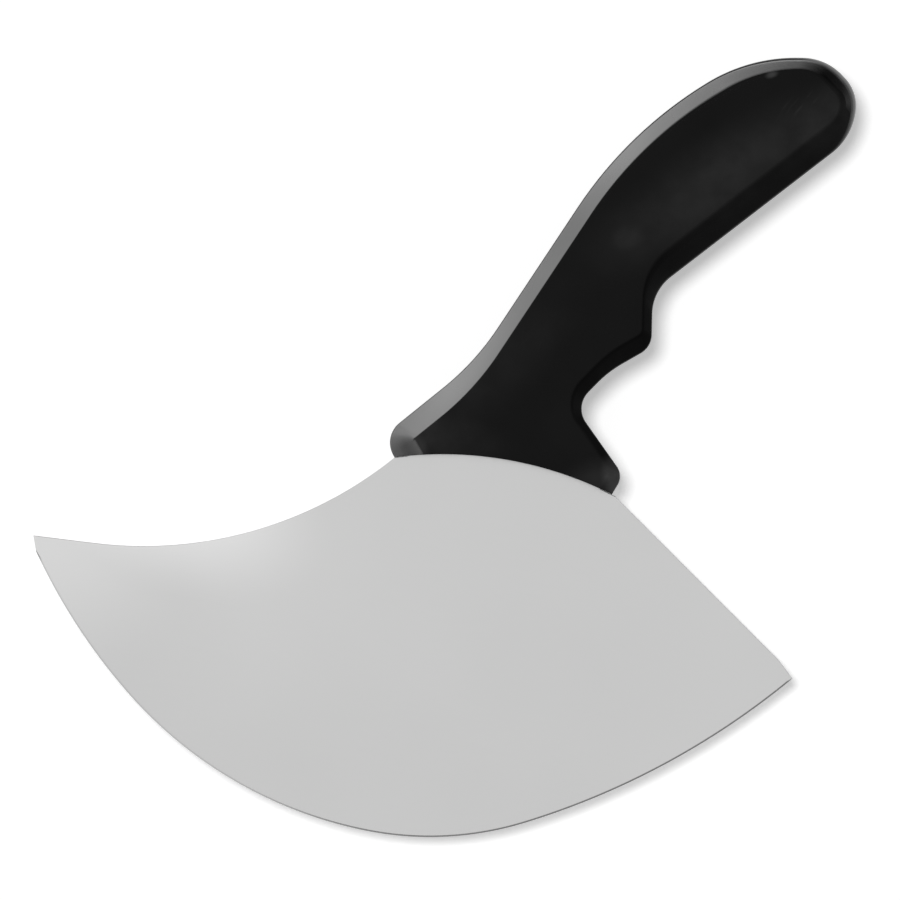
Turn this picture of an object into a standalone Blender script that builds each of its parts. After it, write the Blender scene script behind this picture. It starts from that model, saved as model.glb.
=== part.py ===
# Pastry knife: a wide curved blade with a hidden tang, in a moulded handle with a hard core and a grip skin.
# Metres. The knife lies flat: the blade's middle plane is Z = 0, the line through its two tips runs
# along X, and the handle leans away towards +Y. The origin is the middle of the knife's box.

import math

import bmesh
import bpy
from mathutils import Matrix, Vector

# Blade outline, seen from above: the toe is the tip at -X, the heel is the tip at +X
BLADE_CHORD = 0.2003          # from tip to tip along X
BLADE_DEPTH = 0.0590          # from the heel's tip down to the lowest point of the cutting edge
TOE_BELLY_RADIUS = 0.1105     # cutting edge from the lowest point towards the toe
TOE_BELLY_SWEEP = math.radians(38.0)
HEEL_BELLY_RADIUS = 0.0835    # cutting edge from the lowest point towards the heel
HEEL_BELLY_SWEEP = math.radians(27.5)
TOE_LIFT = 0.0005             # the toe's tip stands this far above the heel's
TOE_LAND = 0.0042             # blunt end of the toe, from its tip down to the cutting edge
TOE_SLANT = math.radians(70.0)
SPINE_STRAIGHT = 0.0160       # straight start of the hollow spine at the toe
SPINE_RISE = math.radians(3.5)
SIDE_SLOPE = math.radians(34.5)       # straight side that comes down from the collar
HEEL_LAND = 0.0061            # shorter and steeper straight from the side to the heel's tip
HEEL_SLOPE = math.radians(42.5)

# Blade section
BLADE_THICKNESS = 0.0018      # the sheet, at full thickness from the grind up to the tang's end
GRIND_WIDTH = 0.0600          # the blade thins over this distance from its cutting edge
SHOULDER_THICKNESS = 0.0004   # where the thinning ends and the sharpened bevel starts
BEVEL_WIDTH = 0.0004          # sharpened bevel along the cutting edge
EDGE_THICKNESS = 0.0001       # the land that is left at the very edge

# Collar: the hollow arc where the blade leaves the handle
COLLAR_X = 0.0181
COLLAR_Y = 0.0422             # top of the arc, above the line of the tips
COLLAR_RADIUS = 0.0980

# Handle frame: it starts at this point, and its own x axis leans by this angle from the line of the tips
HANDLE_X = 0.0170
HANDLE_Y = 0.0400
HANDLE_LEAN = math.radians(57.0)

# Handle outline in the handle frame, anticlockwise: x, y, fillet radius, width of the chamfer
# along the straight that leaves the corner
HORN = (0.0197, -0.0235, 0.0045, 0.0020)
FINGER_NOTCH = (0.0240, -0.0020, 0.0061, 0.0032)
FINGER_HOLLOW = (0.0365, -0.0022, 0.0300, 0.0040)
BUMP = (0.0488, -0.0059, 0.0057, 0.0023)
SWELL = (0.0596, 0.0039, 0.0123, 0.0054)
BUTT_BELLY = (0.1243, -0.0062, 0.0163, 0.0036)
BUTT_LOWER = (0.1337, 0.0010, 0.0106, 0.0040)
BUTT_UPPER = (0.1343, 0.0130, 0.0143, 0.0030)
BUTT_BACK = (0.1207, 0.0276, 0.0436, 0.0040)
BACK = (0.0855, 0.0372, 0.1075, 0.0039)
BACK_BEND = (0.0145, 0.0247, 0.0684, 0.0056)
COLLAR_BACK = (-0.0160, 0.0288, 0.0066, 0.0072)
BELOW_COLLAR = (-0.0356, -0.0358, 0.0010, 0.0031)   # lies under the blade, cut off by the collar's arc

# Handle section
HANDLE_THICKNESS = 0.0220     # over the flat sides of the grip
COLLAR_THICKNESS = 0.0180     # over the flat sides at the collar
CHAMFER_SLOPE = math.radians(38.0)    # steepness of the chamfers against the flat sides
TAPER_START = 0.0600          # the sides run parallel beyond this station
TAPER_END = -0.0120           # and reach the collar's thickness here
SKIN_WALL = 0.0030            # grip skin over the core
FRONT_WALL = 0.0050           # grip skin between the collar's face and the core
MOULD_GAP = 0.0003            # between any two of the pieces
LEAST_FILLET = 0.0004
LEAST_CHAMFER = 0.0003
FILLET_SHARE = 0.998          # leaves a sliver of straight between two fillets that would touch

# Tang: a neck as wide as the collar, then a strip with lock holes, placed in the handle frame
TANG_START = (0.0205, 0.0120)     # centre of the strip where the neck ends
TANG_STOP = (0.1057, 0.0156)      # centre of the strip's far end
TANG_WIDTH = 0.0140
TANG_FILLET = 0.0055
NECK_FILLET = 0.0100
NECK_SETBACK = 0.0035             # the neck starts this far in from each end of the collar
SLOT_RUNOUT = 0.0040              # the tang's slot is cut on through the collar's face
LOCK_HOLE_DIAMETER = 0.0070
LOCK_HOLE_COUNT = 3
FIRST_LOCK_HOLE = 0.0155          # from the strip's start
LOCK_HOLE_PITCH = 0.0260

# Fineness of the solids
EDGE_STEPS = 20               # along the toe and the heel arcs; half as many along each belly arc
STRAIGHT_STEPS = 6
SPINE_STEPS = 26
SHOULDER_STEPS = 2
COLLAR_STEPS = 16
SIDE_STEPS = 12
LAND_STEPS = 2                # from the side to the heel's tip
BLADE_ROWS = (0.05, 0.13, 0.24, 0.38, 0.55, 0.76, 1.0)
FILLET_STEPS = 8
COLLAR_SEGMENTS = 360
HOLE_SEGMENTS = 32
CREASE_ANGLE = math.radians(18.0)     # edges sharper than this are shaded as creases
WELD_DISTANCE = 1e-7

# Looks: base colour, roughness, metallic
STEEL_LOOK = ((0.60, 0.60, 0.59), 0.32, 1.0)
CORE_LOOK = ((0.05, 0.05, 0.05), 0.45, 0.0)
GRIP_LOOK = ((0.013, 0.013, 0.013), 0.42, 0.0)


def unit(vector):
    return vector / vector.length


def left_of(vector):
    return Vector((-vector.y, vector.x))


def crossing(start_a, along_a, start_b, along_b):
    """Point where two lines meet."""
    apart = start_b - start_a
    share = (apart.x * along_b.y - apart.y * along_b.x) / (along_a.x * along_b.y - along_a.y * along_b.x)
    return start_a + along_a * share


def on_circle(centre, radius, start, along, far=False):
    """First or far point of the circle that a line from start meets on its way."""
    along = unit(along)
    offset = start - centre
    middle = -offset.dot(along)
    half = math.sqrt(middle ** 2 - offset.length_squared + radius ** 2)
    share = middle + half if far or middle < half else middle - half
    return start + along * share


def arc(centre, start, end, steps):
    """Points of the shorter arc about a centre from one point to another, both included."""
    spoke = start - centre
    turn = -spoke.angle_signed(end - centre)
    points = []
    for i in range(steps + 1):
        cosine, sine = math.cos(turn * i / steps), math.sin(turn * i / steps)
        points.append(centre + Vector((spoke.x * cosine - spoke.y * sine, spoke.x * sine + spoke.y * cosine)))
    return points


def tangent_centre(start, inward, end):
    """Centre of the arc that leaves start square to the inward direction and passes through end."""
    across = end - start
    return start + inward * across.length_squared / (2 * across.dot(inward))


def straights(corners, i):
    """A polygon's corner, with the straights that arrive at it and leave it."""
    before, here, after = (Vector(corners[k % len(corners)][:2]) for k in (i - 1, i, i + 1))
    return here, here - before, after - here


def filleted(corners):
    """Outline of a polygon with rounded corners, with as many points for every corner."""
    turns, tangents, room = [], [], []
    for i, corner in enumerate(corners):
        _, arriving, leaving = straights(corners, i)
        turns.append(-arriving.angle_signed(leaving))
        tangents.append(corner[2] * math.tan(abs(turns[i]) / 2))
        room.append(leaving.length)
    fits = [min(1.0, room[i] / (tangents[i] + tangents[(i + 1) % len(corners)])) for i in range(len(corners))]
    points = []
    for i in range(len(corners)):
        here, arriving, leaving = straights(corners, i)
        tangent = tangents[i] * min(fits[i - 1], fits[i]) * FILLET_SHARE
        start = here - unit(arriving) * tangent
        centre = start + left_of(unit(arriving)) * tangent / math.tan(turns[i] / 2)
        points += arc(centre, start, here + unit(leaving) * tangent, FILLET_STEPS)
    return points


def inset(corners, widths):
    """The same polygon with each straight moved inwards by its own width."""
    result = []
    for i, corner in enumerate(corners):
        here, arriving, leaving = straights(corners, i)
        moved = crossing(here + left_of(unit(arriving)) * widths[i - 1], arriving,
                         here + left_of(unit(leaving)) * widths[i], leaving)
        mean = (widths[i - 1] + widths[i]) / 2
        radius = corner[2] - math.copysign(mean, arriving.cross(leaving))
        result.append((moved.x, moved.y, max(radius, LEAST_FILLET)))
    return result


def taper(x):
    """The handle's thickness at x as a share of the grip's: a straight wedge between two stations."""
    share = min(max((x - TAPER_END) / (TAPER_START - TAPER_END), 0.0), 1.0)
    return (COLLAR_THICKNESS + (HANDLE_THICKNESS - COLLAR_THICKNESS) * share) / HANDLE_THICKNESS


def new_material(name, colour, roughness, metallic):
    material = bpy.data.materials.new(name)
    material.use_nodes = True
    shader = material.node_tree.nodes["Principled BSDF"]
    shader.inputs["Base Color"].default_value = (*colour, 1.0)
    shader.inputs["Roughness"].default_value = roughness
    shader.inputs["Metallic"].default_value = metallic
    return material


def add_object(name, mesh_data, parent, material=None):
    """Makes an object from a bmesh, shaded smooth but for its creases."""
    mesh = bpy.data.meshes.new(name)
    bmesh.ops.recalc_face_normals(mesh_data, faces=mesh_data.faces)
    mesh_data.to_mesh(mesh)
    mesh_data.free()
    mesh.shade_smooth()
    mesh.set_sharp_from_angle(angle=CREASE_ANGLE)
    piece = bpy.data.objects.new(name, mesh)
    piece.parent = parent
    bpy.context.scene.collection.objects.link(piece)
    if material:
        mesh.materials.append(material)
    else:
        piece.hide_render = True
        piece.display_type = "WIRE"
    return piece


def add_empty(name, parent=None, location=(0.0, 0.0, 0.0), turn=0.0):
    empty = bpy.data.objects.new(name, None)
    empty.parent = parent
    empty.location = location
    empty.rotation_euler.z = turn
    bpy.context.scene.collection.objects.link(empty)
    return empty


def cut(piece, cutter):
    modifier = piece.modifiers.new("cut_" + cutter.name, "BOOLEAN")
    modifier.operation = "DIFFERENCE"
    modifier.solver = "EXACT"
    modifier.object = cutter


def prism(name, outline, half_height, parent):
    """Upright cutter with the given outline, centred on Z = 0."""
    shape = bmesh.new()
    bottom = [shape.verts.new((p.x, p.y, -half_height)) for p in outline]
    top = [shape.verts.new((p.x, p.y, half_height)) for p in outline]
    shape.faces.new(bottom[::-1])
    shape.faces.new(top)
    for i in range(len(outline)):
        shape.faces.new((bottom[i - 1], bottom[i], top[i], top[i - 1]))
    return add_object(name, shape, parent)


def round_cutter(name, centre, radius, half_height, parent, segments):
    turns = [math.tau * i / segments for i in range(segments)]
    circle = [centre + radius * Vector((math.cos(turn), math.sin(turn))) for turn in turns]
    return prism(name, circle, half_height, parent)


# Places shared by the blade and the handle, in the blade's frame

HANDLE_CORNERS = (HORN, FINGER_NOTCH, FINGER_HOLLOW, BUMP, SWELL, BUTT_BELLY, BUTT_LOWER, BUTT_UPPER,
                  BUTT_BACK, BACK, BACK_BEND, COLLAR_BACK, BELOW_COLLAR)
COLLAR_CENTRE = Vector((COLLAR_X, COLLAR_Y - COLLAR_RADIUS))
TOE = Vector((-BLADE_CHORD / 2, TOE_LIFT))
TOE_FOOT = TOE + TOE_LAND * Vector((math.cos(TOE_SLANT), -math.sin(TOE_SLANT)))
HEEL = Vector((BLADE_CHORD / 2, 0.0))
HEEL_BEND = HEEL + HEEL_LAND * Vector((-math.cos(HEEL_SLOPE), math.sin(HEEL_SLOPE)))


def from_handle(x, y):
    """A point of the handle frame, in the blade's frame."""
    cosine, sine = math.cos(HANDLE_LEAN), math.sin(HANDLE_LEAN)
    return Vector((HANDLE_X + x * cosine - y * sine, HANDLE_Y + x * sine + y * cosine))


def collar_end(outer, radius):
    """Where the collar's arc meets the straight that runs from a corner of the handle to the one below it."""
    start = from_handle(*outer[:2])
    return on_circle(COLLAR_CENTRE, radius, start, from_handle(*BELOW_COLLAR[:2]) - start)


def along_collar(point, distance):
    """A point of the collar's arc moved anticlockwise along it."""
    spoke = point - COLLAR_CENTRE
    spoke.rotate(Matrix.Rotation(distance / spoke.length, 2))
    return COLLAR_CENTRE + spoke


def cutting_edge():
    """The edge from toe to heel: a belly arc on each side of the lowest point, then an arc to the end."""
    sides = []
    for tip, radius, sweep in ((TOE_FOOT, TOE_BELLY_RADIUS, -TOE_BELLY_SWEEP),
                               (HEEL, HEEL_BELLY_RADIUS, HEEL_BELLY_SWEEP)):
        belly = Vector((0.0, radius - BLADE_DEPTH))
        inward = Vector((-math.sin(sweep), math.cos(sweep)))
        joint = belly - inward * radius
        centre = tangent_centre(joint, inward, tip)
        side = arc(centre, tip, joint, EDGE_STEPS)
        sides.append(side + arc(belly, joint, Vector((0.0, -BLADE_DEPTH)), EDGE_STEPS // 2)[1:])
    return sides[0] + sides[1][-2::-1]


def spine(end):
    """The hollow spine: a short straight from the toe, then one arc that ends at the collar."""
    along = Vector((math.cos(SPINE_RISE), math.sin(SPINE_RISE)))
    start = TOE + along * SPINE_STRAIGHT
    straight = [TOE.lerp(start, i / STRAIGHT_STEPS) for i in range(STRAIGHT_STEPS)]
    return straight + arc(tangent_centre(start, left_of(along), end), start, end, SPINE_STEPS)


def side_start(radius):
    """Where the blade's side leaves the collar's arc, a little past the horn."""
    along = Vector((-math.cos(SIDE_SLOPE), math.sin(SIDE_SLOPE)))
    return on_circle(COLLAR_CENTRE, radius, HEEL_BEND, along, far=True)


def side(start):
    """The side above the heel: a straight from the collar, then a short one to the heel's tip."""
    points = [start.lerp(HEEL_BEND, i / SIDE_STEPS) for i in range(SIDE_STEPS)]
    return points + [HEEL_BEND.lerp(HEEL, i / LAND_STEPS) for i in range(LAND_STEPS + 1)]


def resampled(points, fractions):
    """Points at the given fractions of a line's length."""
    lengths = [0.0]
    for a, b in zip(points, points[1:]):
        lengths.append(lengths[-1] + (b - a).length)
    result = []
    for fraction in fractions:
        target = fraction * lengths[-1]
        i = 0
        while i < len(points) - 2 and lengths[i + 1] < target:
            i += 1
        result.append(points[i].lerp(points[i + 1], (target - lengths[i]) / (lengths[i + 1] - lengths[i])))
    return result


def distance_to(line, point):
    """Least distance from a point to a line of points."""
    least = math.inf
    for a, b in zip(line, line[1:]):
        share = min(max((point - a).dot(b - a) / (b - a).length_squared, 0.0), 1.0)
        least = min(least, (point - a.lerp(b, share)).length)
    return least


def half_thickness(distance):
    """Half the blade's thickness at a distance from its cutting edge: a bevel, then a full convex grind."""
    shoulder, full = SHOULDER_THICKNESS / 2, BLADE_THICKNESS / 2
    if distance < BEVEL_WIDTH:
        return EDGE_THICKNESS / 2 + (shoulder - EDGE_THICKNESS / 2) * distance / BEVEL_WIDTH
    share = min((distance - BEVEL_WIDTH) / (GRIND_WIDTH - BEVEL_WIDTH), 1.0)
    return shoulder + (full - shoulder) * (1 - (1 - share) ** 2)


def tang_strip():
    """The two ends of the tang strip's centre line and the step to its left side."""
    start, stop = from_handle(*TANG_START), from_handle(*TANG_STOP)
    return start, stop, left_of(unit(stop - start)) * TANG_WIDTH / 2


def neck_feet():
    """Where the neck's two sides leave the collar: on the horn's side, then on the back's side."""
    horn = collar_end(HORN, COLLAR_RADIUS - MOULD_GAP)
    back = collar_end(COLLAR_BACK, COLLAR_RADIUS - MOULD_GAP)
    return along_collar(horn, NECK_SETBACK), along_collar(back, -NECK_SETBACK)


def tang_outline(grow=0.0):
    """The tang's rounded outline, anticlockwise from under the horn; grow moves it outwards."""
    start, stop, aside = tang_strip()
    strip = [start - aside, stop - aside, stop + aside, start + aside]
    horn_foot, back_foot = neck_feet()
    lows = [foot + unit(foot - corner) * SLOT_RUNOUT
            for foot, corner in ((horn_foot, strip[0]), (back_foot, strip[3]))]
    corners = [lows[0], *strip, lows[1]]
    fillets = (LEAST_FILLET, NECK_FILLET, TANG_FILLET, TANG_FILLET, NECK_FILLET, LEAST_FILLET)
    return filleted(inset([(*corner, fillet) for corner, fillet in zip(corners, fillets)],
                          [-grow] * len(corners)))


def lock_holes():
    start, stop, _ = tang_strip()
    along = unit(stop - start)
    return [start + along * (FIRST_LOCK_HOLE + LOCK_HOLE_PITCH * i) for i in range(LOCK_HOLE_COUNT)]


def make_blade(parent, material):
    """Blade and tang in one sheet: a grid from the edge to the spine, collar and side, then the tang."""
    rim_radius = COLLAR_RADIUS - MOULD_GAP
    back_end, side_end = collar_end(COLLAR_BACK, rim_radius), side_start(rim_radius)
    horn_foot, back_foot = neck_feet()
    tang = [p for p in tang_outline() if (p - COLLAR_CENTRE).length > rim_radius]

    upper = spine(back_end) + arc(COLLAR_CENTRE, back_end, back_foot, SHOULDER_STEPS)[1:]
    neck_start = len(upper) - 1
    upper += arc(COLLAR_CENTRE, back_foot, horn_foot, COLLAR_STEPS)[1:]
    neck_end = len(upper) - 1
    upper += arc(COLLAR_CENTRE, horn_foot, side_end, SHOULDER_STEPS)[1:]
    upper += side(side_end)[1:]

    lengths = [0.0]
    for a, b in zip(upper, upper[1:]):
        lengths.append(lengths[-1] + (b - a).length)
    fine_edge = cutting_edge()
    edge = resampled(fine_edge, [length / lengths[-1] for length in lengths])
    last = len(upper) - 1
    bevel = [edge[0].lerp(upper[0], BEVEL_WIDTH / TOE_LAND)]
    for i in range(1, last):
        bevel.append(edge[i] + left_of(unit(edge[i + 1] - edge[i - 1])) * BEVEL_WIDTH)
    bevel.append(edge[-1])
    rows = [edge, bevel] + [[b.lerp(u, t) for b, u in zip(bevel, upper)] for t in BLADE_ROWS]

    shape = bmesh.new()
    sides = []
    for sign in (1, -1):
        grid = []
        for r, row in enumerate(rows):
            line = []
            for c, p in enumerate(row):
                if c == last and r > 0:
                    line.append(grid[0][c])
                    continue
                distance = (0.0, BEVEL_WIDTH)[r] if r < 2 else distance_to(fine_edge, p)
                line.append(shape.verts.new((p.x, p.y, sign * half_thickness(distance))))
            grid.append(line)
        for low, high in zip(grid, grid[1:]):
            for c in range(last):
                corners = list(dict.fromkeys((low[c], low[c + 1], high[c + 1], high[c])))
                shape.faces.new(corners)
        loop = [shape.verts.new((p.x, p.y, sign * BLADE_THICKNESS / 2)) for p in tang]
        shape.faces.new(grid[-1][neck_start:neck_end + 1] + loop)
        toe_land = [line[0] for line in grid]
        sides.append((grid[0], toe_land, grid[-1][:neck_start + 1] + loop[::-1] + grid[-1][neck_end:]))

    for top, low in zip(*sides):
        for i in range(len(top) - 1):
            shape.faces.new((top[i], low[i], low[i + 1], top[i + 1]))
    blade = add_object("blade", shape, parent, material)
    for i, place in enumerate(lock_holes()):
        cut(blade, round_cutter(f"lock_hole_{i}", place, LOCK_HOLE_DIAMETER / 2,
                                BLADE_THICKNESS, parent, HOLE_SEGMENTS))


def chamfered_slab(name, wall, parent, material=None):
    """The handle's shape, in the handle frame, with every face moved inwards by the same wall."""
    outer = inset(HANDLE_CORNERS, [wall] * len(HANDLE_CORNERS))
    half = HANDLE_THICKNESS / 2 - wall
    narrowing = wall * (1 - math.tan(CHAMFER_SLOPE / 2))
    widths = [max(corner[3] - narrowing, LEAST_CHAMFER) for corner in HANDLE_CORNERS]
    outline = filleted(outer)
    face = filleted(inset(outer, widths))
    drops = []
    for i, width in enumerate(widths):
        steps = [widths[i - 1] + (width - widths[i - 1]) * k / FILLET_STEPS for k in range(FILLET_STEPS + 1)]
        drops += [step * math.tan(CHAMFER_SLOPE) for step in steps]

    shape = bmesh.new()
    rings = [[shape.verts.new((p.x, p.y, -half)) for p in face],
             [shape.verts.new((p.x, p.y, drop - half)) for p, drop in zip(outline, drops)],
             [shape.verts.new((p.x, p.y, half - drop)) for p, drop in zip(outline, drops)],
             [shape.verts.new((p.x, p.y, half)) for p in face]]
    shape.faces.new(rings[0][::-1])
    shape.faces.new(rings[-1])
    for lower, upper in zip(rings, rings[1:]):
        for i in range(len(outline)):
            shape.faces.new((lower[i - 1], lower[i], upper[i], upper[i - 1]))

    for station in (TAPER_END, TAPER_START):
        bmesh.ops.bisect_plane(shape, geom=shape.verts[:] + shape.edges[:] + shape.faces[:],
                               plane_co=(station, 0, 0), plane_no=(1, 0, 0), dist=WELD_DISTANCE)
    for vertex in shape.verts:
        vertex.co.z *= taper(vertex.co.x)
    return add_object(name, shape, parent, material)


def make_tang_slot(parent):
    """The space that the tang leaves in the handle, with the core's lock pegs standing in it."""
    slot = prism("tang_slot", tang_outline(MOULD_GAP), BLADE_THICKNESS / 2 + MOULD_GAP, parent)
    for i, place in enumerate(lock_holes()):
        cut(slot, round_cutter(f"lock_peg_{i}", place, LOCK_HOLE_DIAMETER / 2 - MOULD_GAP,
                               2 * BLADE_THICKNESS, parent, HOLE_SEGMENTS))
    return slot


def make_handle(knife, handle, core_material, grip_material):
    slot = make_tang_slot(knife)
    tall = HANDLE_THICKNESS

    core = chamfered_slab("handle_core", SKIN_WALL + MOULD_GAP, handle, core_material)
    cut(core, round_cutter("core_front", COLLAR_CENTRE, COLLAR_RADIUS + FRONT_WALL + MOULD_GAP, tall, knife,
                           COLLAR_SEGMENTS))
    cut(core, slot)

    cavity = chamfered_slab("core_cavity", SKIN_WALL, handle)
    cut(cavity, round_cutter("cavity_front", COLLAR_CENTRE, COLLAR_RADIUS + FRONT_WALL, tall, knife,
                             COLLAR_SEGMENTS))

    grip = chamfered_slab("handle_grip", 0.0, handle, grip_material)
    cut(grip, round_cutter("collar_front", COLLAR_CENTRE, COLLAR_RADIUS, tall, knife, COLLAR_SEGMENTS))
    cut(grip, cavity)
    cut(grip, slot)


def main():
    for old in list(bpy.data.objects):
        bpy.data.objects.remove(old, do_unlink=True)
    reach = max(from_handle(p.x, p.y).y for p in filleted(HANDLE_CORNERS))
    knife = add_empty("knife", location=(0.0, (BLADE_DEPTH - reach) / 2, 0.0))
    handle = add_empty("handle", knife, (HANDLE_X, HANDLE_Y, 0.0), HANDLE_LEAN)
    make_blade(knife, new_material("satin_stainless", *STEEL_LOOK))
    make_handle(knife, handle, new_material("hard_core_plastic", *CORE_LOOK),
                new_material("black_grip_plastic", *GRIP_LOOK))


main()
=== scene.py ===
import math

import bmesh
import bpy
from mathutils import Matrix, Vector


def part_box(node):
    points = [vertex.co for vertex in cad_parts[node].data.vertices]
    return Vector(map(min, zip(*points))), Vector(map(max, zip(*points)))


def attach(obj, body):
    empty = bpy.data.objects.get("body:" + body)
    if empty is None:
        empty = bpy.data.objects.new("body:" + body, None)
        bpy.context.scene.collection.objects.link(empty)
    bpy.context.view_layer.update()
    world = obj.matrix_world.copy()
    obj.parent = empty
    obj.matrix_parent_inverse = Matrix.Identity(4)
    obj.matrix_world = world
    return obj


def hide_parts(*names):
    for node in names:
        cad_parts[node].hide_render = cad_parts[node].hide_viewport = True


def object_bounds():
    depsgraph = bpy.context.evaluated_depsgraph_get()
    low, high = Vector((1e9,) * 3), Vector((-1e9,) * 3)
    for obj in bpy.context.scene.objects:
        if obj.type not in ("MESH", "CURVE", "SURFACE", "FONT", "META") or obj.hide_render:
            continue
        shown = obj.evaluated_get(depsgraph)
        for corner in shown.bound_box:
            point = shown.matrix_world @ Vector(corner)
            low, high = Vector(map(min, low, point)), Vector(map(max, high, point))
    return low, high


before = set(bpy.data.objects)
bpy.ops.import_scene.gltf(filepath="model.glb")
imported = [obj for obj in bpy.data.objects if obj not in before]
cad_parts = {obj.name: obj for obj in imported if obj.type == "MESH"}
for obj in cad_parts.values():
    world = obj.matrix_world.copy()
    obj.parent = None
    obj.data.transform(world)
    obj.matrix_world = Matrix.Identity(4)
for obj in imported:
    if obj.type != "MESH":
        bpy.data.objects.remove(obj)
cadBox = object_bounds()
print("stage 1: the packed knife is loaded")


# The knife lies flat on the table, blade level, handle leaning away to the upper right
knife = {
    "bladeChord": 0.20029,         # tip to tip
    "bladeDepth": 0.0590,          # heel's tip down to the lowest point of the edge
    "toeLift": 0.0005,             # toe's tip above the heel's
    "collarX": 0.0181,
    "collarY": 0.0422,
    "collarRadius": 0.0980,
    "handleX": 0.0170,
    "handleY": 0.0400,
    "handleLean": 57.0,            # degrees
}
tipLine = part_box("blade")[0].y + knife["bladeDepth"]      # where the line of the tips lies in the frame
collarCentre = Vector((knife["collarX"], knife["collarY"] - knife["collarRadius"]))
toe = Vector((-knife["bladeChord"] / 2, knife["toeLift"]))
heel = Vector((knife["bladeChord"] / 2, 0.0))


# Small helpers for outlines drawn in the flat
drawing = {
    "filletShare": 0.998,          # leaves a sliver of straight between two fillets
    "leastRadius": 0.0004,
    "weld": 1e-7,
    "sharpAngle": 32.0,            # degrees
}


def unit(v):
    return v / v.length


def eased(share):
    return share * share * (3 - 2 * share)


def leftOf(v):
    return Vector((-v.y, v.x))


def crossing(startA, alongA, startB, alongB):
    apart = startB - startA
    share = (apart.x * alongB.y - apart.y * alongB.x) / (alongA.x * alongB.y - alongA.y * alongB.x)
    return startA + alongA * share


def onCircle(centre, radius, start, along, far=False):
    along = unit(along)                # first or far crossing on the way from start
    offset = start - centre
    middle = -offset.dot(along)
    half = math.sqrt(middle ** 2 - offset.length_squared + radius ** 2)
    return start + along * (middle + half if far or middle < half else middle - half)


def arcPoints(centre, start, end, steps):
    spoke = start - centre
    turn = -spoke.angle_signed(end - centre)
    points = []
    for i in range(steps + 1):
        c, s = math.cos(turn * i / steps), math.sin(turn * i / steps)
        points.append(centre + Vector((spoke.x * c - spoke.y * s, spoke.x * s + spoke.y * c)))
    return points


def tangentCentre(start, inward, end):
    across = end - start
    return start + inward * across.length_squared / (2 * across.dot(inward))


def straights(corners, i):
    before, here, after = (Vector(corners[k % len(corners)][:2]) for k in (i - 1, i, i + 1))
    return here, here - before, after - here


def rounded(corners, steps):
    turns, tangents, room = [], [], []
    for i, corner in enumerate(corners):
        here, arriving, leaving = straights(corners, i)
        turns.append(-arriving.angle_signed(leaving))
        tangents.append(corner[2] * math.tan(abs(turns[i]) / 2))
        room.append(leaving.length)
    fits = [min(1.0, room[i] / (tangents[i] + tangents[(i + 1) % len(corners)])) for i in range(len(corners))]
    points = []
    for i in range(len(corners)):
        here, arriving, leaving = straights(corners, i)
        tangent = tangents[i] * min(fits[i - 1], fits[i]) * drawing["filletShare"]
        start = here - unit(arriving) * tangent
        centre = start + leftOf(unit(arriving)) * tangent / math.tan(turns[i] / 2)
        points += arcPoints(centre, start, here + unit(leaving) * tangent, steps)
    return points


def insetCorners(corners, widths):
    moved = []
    for i, corner in enumerate(corners):
        here, arriving, leaving = straights(corners, i)
        place = crossing(here + leftOf(unit(arriving)) * widths[i - 1], arriving,
                         here + leftOf(unit(leaving)) * widths[i], leaving)
        radius = corner[2] - math.copysign((widths[i - 1] + widths[i]) / 2, arriving.cross(leaving))
        moved.append((place.x, place.y, max(radius, drawing["leastRadius"])))
    return moved


def fromHandle(x, y):
    lean = math.radians(knife["handleLean"])
    return Vector((knife["handleX"] + x * math.cos(lean) - y * math.sin(lean),
                   knife["handleY"] + x * math.sin(lean) + y * math.cos(lean)))


def newPiece(name, shape, matrix=None, sharpAngle=drawing["sharpAngle"]):
    # a bmesh drawn round the line of the tips becomes a piece in the frame
    bmesh.ops.recalc_face_normals(shape, faces=shape.faces)
    mesh = bpy.data.meshes.new(name)
    shape.to_mesh(mesh)
    shape.free()
    mesh.transform(Matrix.Translation((0.0, tipLine, 0.0)) @ (matrix or Matrix.Identity(4)))
    mesh.shade_smooth()
    mesh.set_sharp_from_angle(angle=math.radians(sharpAngle))
    piece = bpy.data.objects.new(name, mesh)
    bpy.context.scene.collection.objects.link(piece)
    return piece


def prismShape(outline, halfHeight):
    shape = bmesh.new()
    low = [shape.verts.new((p.x, p.y, -halfHeight)) for p in outline]
    high = [shape.verts.new((p.x, p.y, halfHeight)) for p in outline]
    shape.faces.new(low[::-1])
    shape.faces.new(high)
    for i in range(len(outline)):
        shape.faces.new((low[i - 1], low[i], high[i], high[i - 1]))
    return shape


def circleOutline(centre, radius, segments):
    return [centre + radius * Vector((math.cos(math.tau * i / segments), math.sin(math.tau * i / segments)))
            for i in range(segments)]


def cutAway(piece, *cutters):
    # boolean cuts are applied straight away and the cutters are thrown out
    for cutter in cutters:
        modifier = piece.modifiers.new("cut", "BOOLEAN")
        modifier.operation = "DIFFERENCE"
        modifier.solver = "EXACT"
        modifier.object = cutter
    bpy.context.view_layer.update()
    evaluated = piece.evaluated_get(bpy.context.evaluated_depsgraph_get())
    mesh = bpy.data.meshes.new_from_object(evaluated)
    piece.modifiers.clear()
    piece.data = mesh
    for cutter in cutters:
        bpy.data.objects.remove(cutter, do_unlink=True)


# Small helpers for materials
texture = {
    "middleSpan": (0.3, 0.7),      # stretch of a noise's values that is spread over the whole range
    "fullSpan": (0.1, 0.9),
    "patchFade": (0.2, 1.15),      # shares of its reach between which a patch fades out
    "bumpStrength": 0.5,
}


def newMaterial(name):
    material = bpy.data.materials.new(name)
    material.use_nodes = True
    nodes, links = material.node_tree.nodes, material.node_tree.links
    return material, nodes, links, nodes["Principled BSDF"]


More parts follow.
